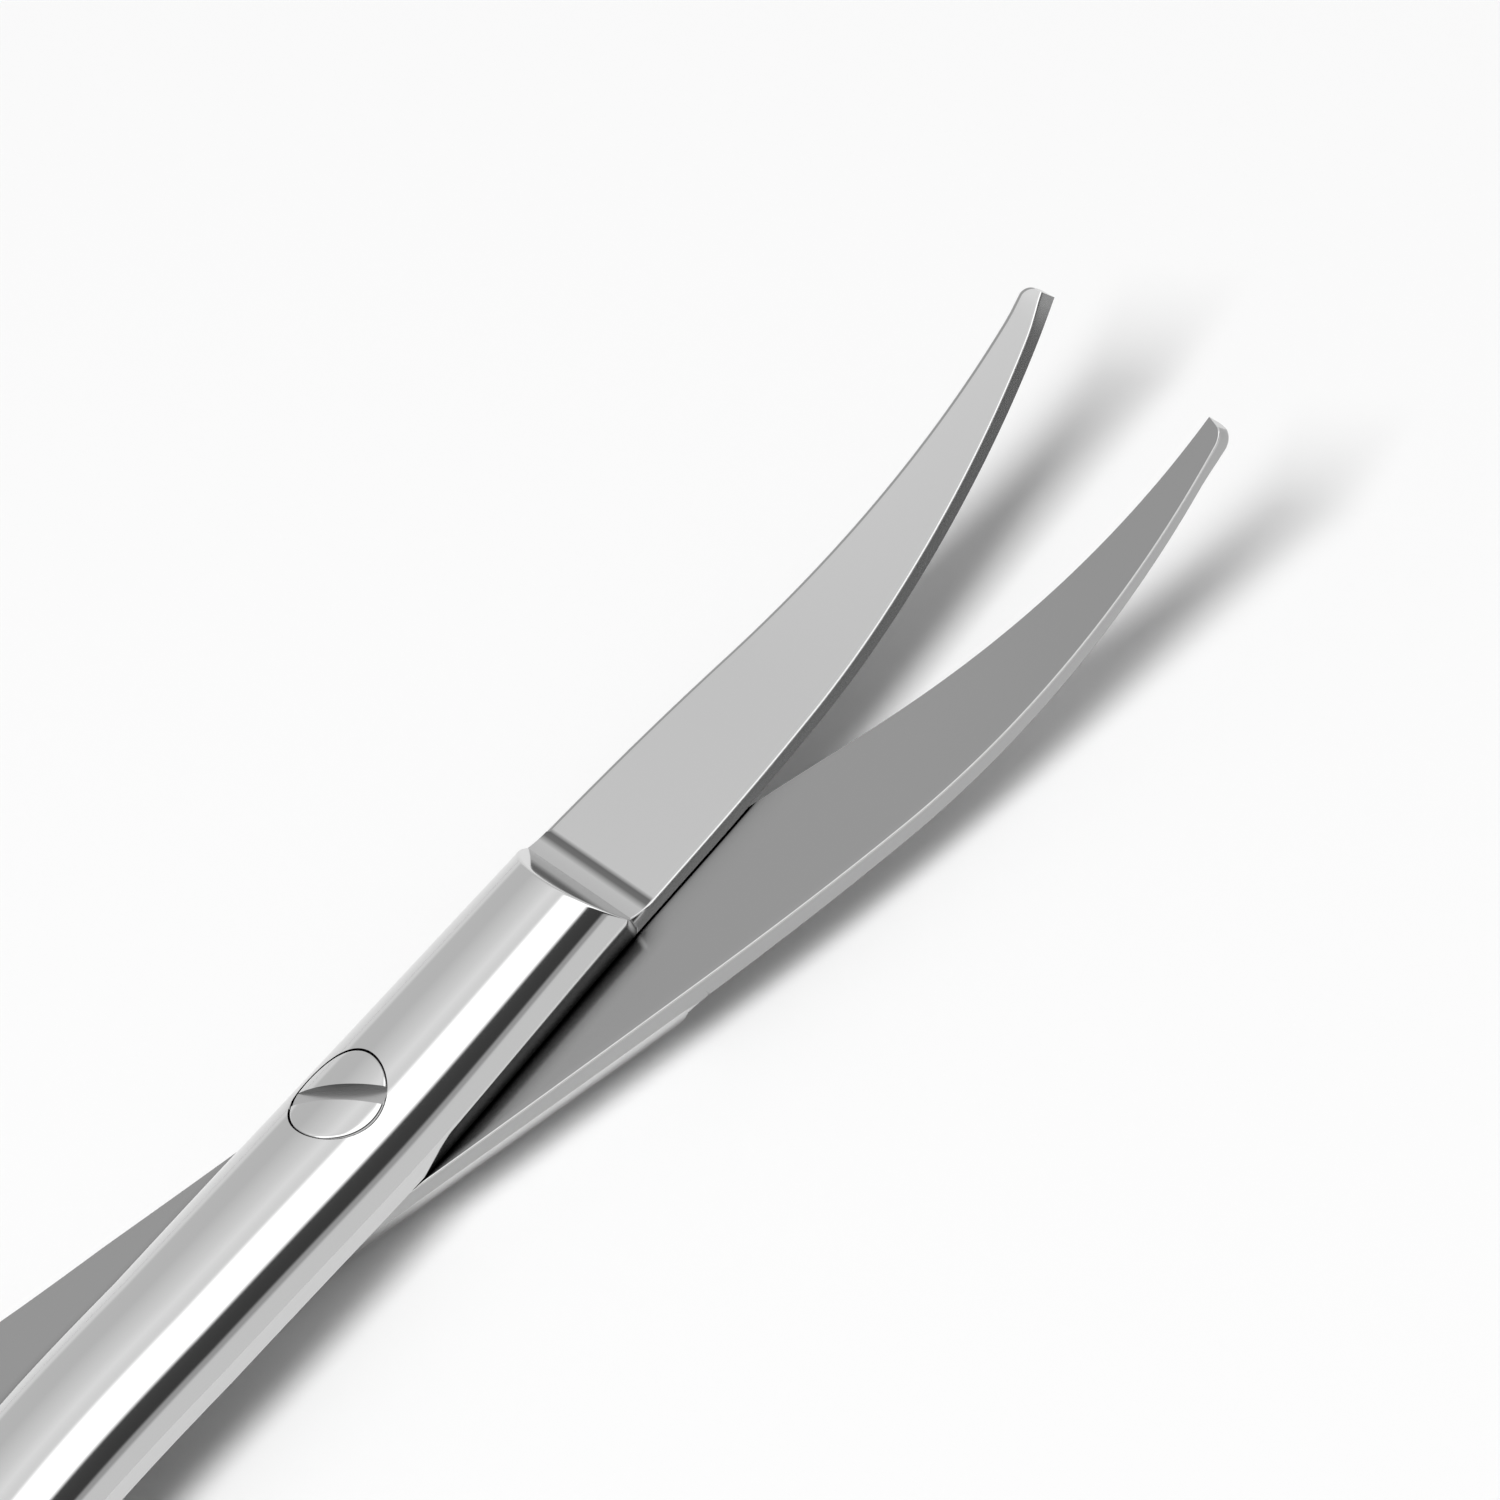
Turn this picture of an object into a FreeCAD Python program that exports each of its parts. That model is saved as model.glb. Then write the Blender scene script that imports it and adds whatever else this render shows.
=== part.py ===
import FreeCAD, Part
import math
import os

# Curved iris scissors with a lap joint and a slotted pivot screw, 115 mm long.
# Lengths are in millimetres and angles in degrees.
# The origin lies on the pivot axis, in the plane where the two halves meet.
# +X runs to the tips along the middle of the opening, +Z up to the screw head.
# Each half is drawn with its blade along +X, then turned by half the opening.

Vec = FreeCAD.Vector
AXIS_X = Vec(1, 0, 0)
AXIS_Z = Vec(0, 0, 1)
ORIGIN = Vec(0, 0, 0)

# Whole instrument
tip_reach = 35.0          # pivot axis to the tip of the lower half
upper_tip_short = 0.3     # the upper tip is honed this much shorter
ring_reach = 80.2         # pivot axis to the backs of the finger rings
rest_opening = 16.2       # angle between the halves at rest
ride_gap = 0.06           # between the inner faces of the two halves

# Joint: D-shaped section with low upright walls under a round crown
joint_back = -9.0
joint_half_width = 3.05
joint_wall = 0.55
joint_crown = 2.55

# Step from the joint's crown down to the outer face of the blade
step_rim = 9.57           # where the slope leaves the crown
step_heel = 10.6          # foot of the slope, start of the hollow below it
step_toe = 11.5           # end of the hollow, on the blade's outer face
step_hollow_radius = 2.1
step_corner = 0.4         # round corner of the joint beside the cutting edge

# Blade outline, as distances from the middle line
belly_x = 16.5            # where the outline turns in towards the tip
middle_x = 25.5
edge_at_step = 2.59
edge_at_belly = 2.29
edge_at_middle = 1.40
edge_at_tip = 0.40
spine_at_step = 2.97
spine_at_belly = 2.77
spine_at_middle = 1.88
spine_at_tip = 0.48
tip_spare = 0.5           # the outline is drawn this far past the tip, then cut back
tip_round = 0.4           # round corner of the tip, on the spine side

# Blade section: a wedge, thick along the spine, with a ground cutting bevel
spine_thick_at_step = 0.88
spine_thick_at_tip = 0.54
spine_round = 0.22
bevel_width_at_step = 0.22
bevel_width_at_tip = 0.3
bevel_height_at_step = 0.28
bevel_height_at_tip = 0.36
blade_root = 8.0          # the blade's wedge starts inside the joint
root_inset = 0.8          # there it stays this far inside the joint's spine wall
blade_stations = 11

# Upward curve of the blades, an arc in every plane through the pivot axis
bend_start = 19.7
bend_radius = 31.3
bend_angle = 75.0         # how far round the meeting surface is drawn, well past the tips

# Pivot screw
head_radius = 1.71
head_depth = 0.85         # crown to the start of the head's cone
shank_radius = 1.15
thread_radius = 0.95
screw_clearance = 0.04
thread_clearance = 0.02
slot_width = 0.6
slot_depth = 0.4
slot_angle = -50.0        # slot direction at rest, from +X

# Finger ring: an oval drawn with arcs, round outside and flat inside
ring_inner_length = 22.0
ring_inner_width = 18.0
ring_height = 3.3
ring_flat = 1.2           # from the ring's middle line to its flat inside
ring_bevel = 0.55         # at both edges of the flat
ring_end_radius = 9.5     # middle line of the ring, at its two ends
ring_gap = 1.2            # between the two rings when the scissors are shut
ring_round = ring_height / 2
ring_half_length = ring_inner_length / 2 + ring_flat
ring_half_width = ring_inner_width / 2 + ring_flat
ring_front = ring_round + 2 * ring_half_length - ring_reach
ring_centre = Vec(ring_front - ring_half_length, -ring_gap / 2 - ring_round - ring_half_width, 0)

# Shank behind the joint
lap_end = -16.0           # the halves stop lying over each other behind here
split_x = -31.0           # the inner edges have parted here
bow_x = -23.5             # between the two, where the shank bows outwards
full_before_ring = 8.15   # full rounded section from this far in front of the ring
shank_half_height = 1.65
shank_wall = 0.3          # half height of the upright walls at full section
straight_inner = 12.15    # start of the straight grip, in front of the ring
straight_outer = 13.15
neck_inner = 2.65         # narrowest place, just in front of the ring
neck_outer = 6.15
flare_outer = 2.25        # where the outer edge turns in to the ring
flare_lead = (3.0, 1.0)   # how the inner edge comes up to the ring
flare_foot_height = 1.3   # half height of the flared foot inside the ring's round bar
entry_inner_angle = 62.0  # ends of the two edges on the ring, measured round from +X
entry_outer_angle = 17.0
sections_per_stretch = 3
joint_sections = 10
full_x = ring_front + full_before_ring
# Matching points of the shank's inner and outer edge, from the joint to the ring
shank_edges = [
    ((joint_back, joint_half_width), (joint_back, -joint_half_width)),
    ((lap_end, 3.0), (lap_end, -3.15)),
    ((bow_x, 1.55), (bow_x, -4.1)),
    ((split_x, -0.35), (split_x, -5.0)),
    ((ring_front + straight_inner, -1.85), (ring_front + straight_outer, -5.7)),
    ((ring_front + neck_inner, -2.2), (ring_front + neck_outer, -5.95)),
]
flare_turn = Vec(ring_front + flare_outer, -7.3, 0)


def smooth_curve(points):
    """Smooth plan curve through (x, y) points; its parameter is x."""
    curve = Part.BSplineCurve()
    ordered = sorted(points)
    curve.interpolate(
        Points=[Vec(x, y, 0) for x, y in ordered],
        Parameters=[x for x, _ in ordered],
    )
    return curve


def smooth_step(x, start, end):
    """Eased ramp from 0 at start to 1 at end."""
    t = min(max((x - start) / (end - start), 0.0), 1.0)
    return t * t * (3 - 2 * t)


def prism(edges, base, direction):
    """Solid from a closed run of edges, moved to base and pushed along direction."""
    face = Part.Face(Part.Wire(edges))
    face.translate(base)
    return face.extrude(direction)


def polyline(points):
    """Straight edges joining the points in order."""
    return [Part.LineSegment(a, b).toShape() for a, b in zip(points, points[1:])]


def round_corner(start, corner, end):
    """Quarter round that leaves start and reaches end along the two sides of a square corner."""
    pull = 4 * (math.sqrt(2) - 1) / 3
    curve = Part.BezierCurve()
    curve.setPoles([start, start + (corner - start) * pull, end + (corner - end) * pull, end])
    return curve.toShape()


def bend_height(x, y):
    """Rise of the meeting surface of the blades above the plane of the joint."""
    along = math.hypot(x, y) - bend_start
    if along <= 0:
        return 0.0
    return bend_radius - math.sqrt(bend_radius ** 2 - along ** 2)


joint_line = [(x, joint_half_width) for x in (joint_back, joint_back / 2, 0)]
edge_curve = smooth_curve(joint_line + [
    (step_rim, edge_at_step), (belly_x, edge_at_belly),
    (middle_x, edge_at_middle), (tip_reach + tip_spare, edge_at_tip),
])
spine_curve = smooth_curve(joint_line + [
    (step_rim, spine_at_step), (belly_x, spine_at_belly),
    (middle_x, spine_at_middle), (tip_reach + tip_spare, spine_at_tip),
])


def along_blade(at_step, at_tip, x):
    """Size at x that changes evenly from the step to the tip."""
    return at_step + (at_tip - at_step) * (x - step_rim) / (tip_reach - step_rim)


def spine_thickness(x):
    return along_blade(spine_thick_at_step, spine_thick_at_tip, x)


def bevel(x):
    """Width and height of the cutting bevel."""
    return (
        along_blade(bevel_width_at_step, bevel_width_at_tip, x),
        along_blade(bevel_height_at_step, bevel_height_at_tip, x))


def bevel_top(x):
    """Plan point of the bevel's top line."""
    return Vec(x, bevel(x)[0] - edge_curve.value(x).y, 0)


def blade_section(x, side):
    """Wedge section of the blade at x; side is 1 for the upper half, -1 for the lower."""
    edge = edge_curve.value(x).y
    spine = spine_curve.value(x).y
    thick = spine_thickness(x)
    bevel_width, bevel_height = bevel(x)
    spare = 1.2
    z_edge = bend_height(x, edge)
    z_spine = bend_height(x, spine)
    bevel_run = bevel_width / bevel_height

    def at(y, z_base, rise):
        return Vec(x, side * y, z_base + side * rise)

    top_of_bevel = at(bevel_width - edge, z_edge, bevel_height)
    bevel_foot = at(-edge - spare * bevel_run, z_edge, -spare)
    spine_foot = at(spine, z_spine, -spare)
    round_start = at(spine, z_spine, thick - spine_round)
    round_end = at(spine - spine_round, z_spine, thick)
    edges = polyline([round_end, top_of_bevel, bevel_foot, spine_foot, round_start])
    edges.append(round_corner(round_start, at(spine, z_spine, thick), round_end))
    return Part.Wire(edges)


def meeting_cutter(side):
    """Everything on the far side of the meeting surface, in front of the pivot."""
    z0 = side * ride_gap / 2
    z_far = -2 * side * bend_radius

    def on_bend(angle):
        turn = math.radians(angle)
        return Vec(
            bend_start + bend_radius * math.sin(turn), 0,
            z0 + bend_radius * (1 - math.cos(turn)))

    flat_end = on_bend(0)
    arc_end = on_bend(bend_angle)
    arc = Part.Arc(flat_end, on_bend(bend_angle / 2), arc_end).toShape()
    corners = [arc_end, Vec(arc_end.x, 0, z_far), Vec(0, 0, z_far), Vec(0, 0, z0), flat_end]
    face = Part.Face(Part.Wire([arc] + polyline(corners)))
    face.rotate(ORIGIN, AXIS_Z, -90)
    return face.revolve(ORIGIN, AXIS_Z, 180)


def blade(side):
    """Curved blade from inside the joint to the tip."""
    length = tip_reach + tip_spare - blade_root
    xs = [blade_root + length * i / (blade_stations - 1) for i in range(blade_stations)]
    wedge = Part.makeLoft([blade_section(x, side) for x in xs], True, False)
    wedge = wedge.cut(meeting_cutter(side))
    tall = 2 * bend_radius
    inset_y = spine_curve.value(step_toe).y - root_inset
    spare = Part.makeBox(step_toe, tall, tall, Vec(0, inset_y, -tall / 2))
    if side < 0:
        spare.rotate(ORIGIN, AXIS_X, 180)
    return wedge.cut([spare, tip_cutter(side)])


def tip_cutter(side):
    """All past the tip, which is ground square to the blade's curve and rounded at its spine."""
    reach = tip_reach if side < 0 else tip_reach - upper_tip_short
    wide = 2 * joint_half_width
    past = Part.makeBox(wide, 2 * wide, wide, Vec(0, -wide, -wide / 2))
    base = Vec(-tip_round, spine_curve.value(reach).y - tip_round, -wide / 2)
    corner = Part.makeBox(wide, wide, wide, base)
    cutter = past.fuse(corner.cut(Part.makeCylinder(tip_round, wide, base)))
    if side < 0:
        cutter.rotate(ORIGIN, AXIS_X, 180)
    lean = math.degrees(math.asin((reach - bend_start) / bend_radius))
    cutter.rotate(ORIGIN, Vec(0, 1, 0), -lean)
    cutter.translate(Vec(reach, 0, bend_height(reach, 0)))
    return cutter


def joint_profile(x, z_low):
    """D-shaped section of the joint in the plane at x."""
    w = joint_half_width
    left = Vec(x, -w, joint_wall)
    right = Vec(x, w, joint_wall)
    crown = Part.Arc(right, Vec(x, 0, joint_crown), left).toShape()
    rest = polyline([left, Vec(x, -w, z_low), Vec(x, w, z_low), right])
    return rest + [crown]


def corner_cutter():
    """Room beside the front of the joint: a round end for its wall, then the bevel's strip."""
    rear = edge_curve.value(step_heel - step_corner)
    rear.y = -rear.y
    front = bevel_top(step_heel)
    end = bevel_top(step_toe + step_corner)
    beside = -2 * joint_half_width
    edges = [round_corner(rear, Vec(front.x, rear.y, 0), front)]
    edges += polyline([front, end, Vec(end.x, beside, 0), Vec(rear.x, beside, 0), rear])
    return prism(edges, Vec(0, 0, -joint_crown), Vec(0, 0, 3 * joint_crown))


def step_cutter():
    """Slope and hollow between the crown and the blade's outer face, with all above them."""
    far = 2 * tip_reach
    edge = -bevel_top(step_toe).y
    bevel_height = bevel(step_toe)[1]
    spine = spine_curve.value(step_toe).y
    tilt = math.atan2(spine_thickness(step_toe) - bevel_height, edge + spine)
    z_face = bevel_height + edge * math.tan(tilt)
    radius = step_hollow_radius

    def hollow(x):
        return z_face + radius - math.sqrt(radius ** 2 - (step_toe - x) ** 2)

    heel = Vec(step_heel, 0, hollow(step_heel))
    toe = Vec(step_toe, 0, z_face)
    halfway = (step_heel + step_toe) / 2
    arc = Part.Arc(heel, Vec(halfway, 0, hollow(halfway)), toe).toShape()
    slope = (step_heel - step_rim) / (joint_crown - heel.z)
    top = 2 * joint_crown
    above_rim = Vec(step_heel - slope * (top - heel.z), 0, top)
    edges = [arc] + polyline([toe, Vec(far, 0, z_face), Vec(far, 0, top), above_rim, heel])
    cutter = prism(edges, Vec(0, -far / 2, 0), Vec(0, far, 0))
    cutter.rotate(Vec(0, 0, z_face), AXIS_X, math.degrees(tilt))
    return cutter


def on_ring(angle):
    """Point of the ring's middle line, round from +X."""
    turn = math.radians(angle)
    return ring_centre + Vec(ring_half_length * math.cos(turn), ring_half_width * math.sin(turn), 0)


def ring_profile(centre, ray):
    """Section of the ring: round outside, flat inside with bevelled edges."""

    def at(out, z):
        return centre + ray * out + Vec(0, 0, z)

    outside = Part.Arc(at(0, -ring_round), at(ring_round, 0), at(0, ring_round)).toShape()
    top_end = ring_bevel - ring_flat
    flat_end = ring_round - ring_bevel
    inside = polyline([
        at(0, ring_round), at(top_end, ring_round), at(-ring_flat, flat_end),
        at(-ring_flat, -flat_end), at(top_end, -ring_round), at(0, -ring_round),
    ])
    return Part.Face(Part.Wire([outside] + inside))


def finger_ring():
    """Four arcs of a round bar, tangent to each other."""
    inset = ring_half_length - ring_end_radius
    rise = ring_half_width - ring_end_radius
    side_radius = (inset ** 2 + ring_half_width ** 2 - ring_end_radius ** 2) / (2 * rise)
    drop = side_radius - ring_half_width
    joint_angle = math.degrees(math.atan2(drop, inset))
    quarter = 180 - 2 * joint_angle

    def bar(offset, radius, start, turn):
        centre = ring_centre + offset
        ray = Vec(math.cos(math.radians(start)), math.sin(math.radians(start)), 0)
        face = ring_profile(centre + ray * radius, ray)
        return face.revolve(centre, AXIS_Z, turn)

    ring = bar(Vec(inset, 0, 0), ring_end_radius, -joint_angle, 2 * joint_angle)
    ring = ring.fuse([
        bar(Vec(0, -drop, 0), side_radius, joint_angle, quarter),
        bar(Vec(-inset, 0, 0), ring_end_radius, 180 - joint_angle, 2 * joint_angle),
        bar(Vec(0, drop, 0), side_radius, 180 + joint_angle, quarter),
    ])
    return ring


def shank_edge_curves():
    """Inner and outer edge of the shank, flaring into the ring; equal parameters match."""
    rows = [(Vec(*inner, 0), Vec(*outer, 0)) for inner, outer in shank_edges]
    inner_end = on_ring(entry_inner_angle)
    outer_end = on_ring(entry_outer_angle)
    near_end = inner_end + Vec(*flare_lead, 0)
    rows.append((near_end, flare_turn))
    rows.append((inner_end, outer_end))
    curves = []
    for points in zip(*rows):
        curve = Part.BSplineCurve()
        curve.interpolate(Points=list(points), Parameters=[float(i) for i in range(len(rows))])
        curves.append(curve)
    return curves


def handle_section(inner, outer):
    """Upright section between two edge points: flat below at the joint, round at the ring."""
    x = (inner.x + outer.x) / 2
    thinning = smooth_step(x, lap_end, full_x)
    rounding = smooth_step(x, split_x, full_x)
    foot = smooth_step(x, full_x, ring_front)
    half_height = shank_half_height + (flare_foot_height - shank_half_height) * foot
    crown = joint_crown + (half_height - joint_crown) * thinning
    spine_wall = spine_thickness(step_toe) - spine_round
    wall_top = joint_wall + (shank_wall - joint_wall) * thinning
    wall_top += (spine_wall - joint_wall) * smooth_step(x, 0, step_toe)
    flat = ride_gap / 2
    wall_foot = flat - (shank_wall + flat) * rounding
    belly = flat - (half_height + flat) * rounding

    def at(point, z):
        return Vec(point.x, point.y, z)

    middle = (inner + outer) / 2
    edges = polyline([at(outer, wall_foot), at(outer, wall_top)])
    crown_arc = Part.Arc(at(outer, wall_top), at(middle, crown), at(inner, wall_top))
    edges.append(crown_arc.toShape())
    edges += polyline([at(inner, wall_top), at(inner, wall_foot)])
    if rounding > 0:
        belly_arc = Part.Arc(at(inner, wall_foot), at(middle, belly), at(outer, wall_foot))
        edges.append(belly_arc.toShape())
    else:
        edges += polyline([at(inner, wall_foot), at(outer, wall_foot)])
    return Part.Wire(edges)


def shank_and_joint():
    """Upper half from its flared foot inside the ring to the step at the front of the joint."""
    inner_curve, outer_curve = shank_edge_curves()
    count = (len(shank_edges) + 1) * sections_per_stretch
    marks = [(count - i) / sections_per_stretch for i in range(count)]
    sections = [handle_section(inner_curve.value(mark), outer_curve.value(mark)) for mark in marks]
    for i in range(joint_sections + 1):
        x = joint_back + (step_toe - joint_back) * i / joint_sections
        edge = edge_curve.value(x)
        sections.append(handle_section(spine_curve.value(x), Vec(x, -edge.y, 0)))
    body = Part.makeLoft(sections, True, True)
    return body.cut([corner_cutter(), step_cutter()])


def place(shape, turn):
    """Turn a shape about the pivot axis."""
    turned = shape.copy()
    turned.rotate(ORIGIN, AXIS_Z, turn)
    return turned


def half(side):
    """One whole half, with its blade along +X; the lower one is the upper turned over."""
    body = shank_and_joint().fuse(finger_ring())
    if side < 0:
        body.rotate(ORIGIN, AXIS_X, 180)
    return body.fuse(blade(side))


def round_pin(radius, low, high):
    return Part.makeCylinder(radius, high - low, Vec(0, 0, low))


def screw_seat(clearance):
    """Countersunk seat of the screw head and the hole of its shank, or the screw itself."""
    radius = head_radius + clearance
    neck = shank_radius + clearance
    cone_top = joint_crown - head_depth
    cone_foot = cone_top - (radius - neck)
    head = round_pin(radius, cone_top, 2 * joint_crown)
    cone = Part.makeCone(neck, radius, radius - neck, Vec(0, 0, cone_foot))
    return head.fuse([cone, round_pin(neck, -ride_gap / 2, cone_foot)])


def upper_half():
    return place(half(1).cut(screw_seat(screw_clearance)), rest_opening / 2)


def lower_half():
    hole = round_pin(thread_radius + thread_clearance, -2 * joint_crown, ride_gap)
    return place(half(-1).cut(hole), -rest_opening / 2)


def pivot_screw():
    """Slotted screw, its head and its far end ground flush with the two crowns."""
    dome = prism(joint_profile(-2 * head_radius, -ride_gap / 2), ORIGIN, Vec(4 * head_radius, 0, 0))
    top = screw_seat(0).common(place(dome, rest_opening / 2))
    under = dome.copy()
    under.rotate(ORIGIN, AXIS_X, 180)
    under = place(under, -rest_opening / 2)
    thread = round_pin(thread_radius, -2 * joint_crown, 0).common(under)
    slot = Part.makeBox(
        4 * head_radius, slot_width, 2 * slot_depth,
        Vec(-2 * head_radius, -slot_width / 2, joint_crown - slot_depth))
    return top.fuse(thread).cut(place(slot, slot_angle)).removeSplitter()


os.makedirs("parts", exist_ok=True)
for make in (upper_half, lower_half, pivot_screw):
    make().exportStep("parts/" + make.__name__ + ".step")
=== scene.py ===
"""Curved iris scissors: polished and ground stainless steel on a pale studio floor."""

import math

import bmesh
import bpy
import numpy as np
from mathutils import Matrix, Vector


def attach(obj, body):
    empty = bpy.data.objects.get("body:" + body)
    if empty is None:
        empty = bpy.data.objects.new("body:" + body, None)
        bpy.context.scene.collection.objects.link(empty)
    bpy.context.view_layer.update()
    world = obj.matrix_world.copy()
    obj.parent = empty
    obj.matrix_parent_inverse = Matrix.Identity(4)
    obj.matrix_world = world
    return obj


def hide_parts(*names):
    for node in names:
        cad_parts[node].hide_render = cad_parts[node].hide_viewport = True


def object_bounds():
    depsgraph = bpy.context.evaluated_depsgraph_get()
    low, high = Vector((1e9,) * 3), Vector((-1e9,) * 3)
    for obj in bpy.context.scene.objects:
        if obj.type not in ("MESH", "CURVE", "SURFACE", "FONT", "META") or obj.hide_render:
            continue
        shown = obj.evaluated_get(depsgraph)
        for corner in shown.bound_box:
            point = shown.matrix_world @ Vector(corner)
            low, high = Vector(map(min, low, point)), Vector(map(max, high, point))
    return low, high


bl_info = {
    "name": "Iris Scissors",
    "version": (1, 0, 0),
    "blender": (4, 5, 0),
    "location": "3D View > Sidebar > Scissors",
    "description": "Dresses curved iris scissors in steel finishes and sets up their studio",
    "category": "Object",
}

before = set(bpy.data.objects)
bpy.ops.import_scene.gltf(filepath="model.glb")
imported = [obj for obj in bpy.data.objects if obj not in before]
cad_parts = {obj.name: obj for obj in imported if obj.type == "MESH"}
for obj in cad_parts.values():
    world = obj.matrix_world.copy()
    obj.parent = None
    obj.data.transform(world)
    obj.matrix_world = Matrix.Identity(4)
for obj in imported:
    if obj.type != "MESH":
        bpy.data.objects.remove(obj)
CAD_BOX = [list(corner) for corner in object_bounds()]

MM = 0.001
PHOTO_SIZE = 1500  # pixels on each side of the photograph's frame


def linear(hex_colour):
    """An sRGB hex colour such as "#c8c8c8" as linear red, green, blue and alpha."""
    channels = []
    for start in (1, 3, 5):
        value = int(hex_colour[start:start + 2], 16) / 255
        low = value <= 0.04045
        channels.append(value / 12.92 if low else ((value + 0.055) / 1.055) ** 2.4)
    return (*channels, 1.0)


def node(tree, kind, settings=None, links=None):
    """Adds a node, sets its properties and inputs, and links sockets to its inputs."""
    added = tree.nodes.new(kind)
    for name, value in (settings or {}).items():
        if isinstance(name, int) or name in added.inputs:
            added.inputs[name].default_value = value
        else:
            setattr(added, name, value)
    for name, socket in (links or {}).items():
        tree.links.new(socket, added.inputs[name])
    return added


def length(label, text, millimetres):
    """A length property, given in millimetres and kept in metres."""
    return bpy.props.FloatProperty(
        name=label, description=text, default=millimetres * MM, unit="LENGTH", precision=5)


def angle(label, text, degrees):
    """An angle property, given in degrees and kept in radians."""
    return bpy.props.FloatProperty(
        name=label, description=text, default=math.radians(degrees), subtype="ANGLE")


def colour(label, text, hex_colour):
    """A colour property, given as an sRGB hex value and kept linear."""
    return bpy.props.FloatVectorProperty(
        name=label, description=text, default=linear(hex_colour),
        size=4, min=0.0, max=1.0, subtype="COLOR")


def factor(label, text, share):
    """A property that runs from 0 to 1."""
    return bpy.props.FloatProperty(
        name=label, description=text, default=share, min=0.0, max=1.0, subtype="FACTOR")


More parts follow.
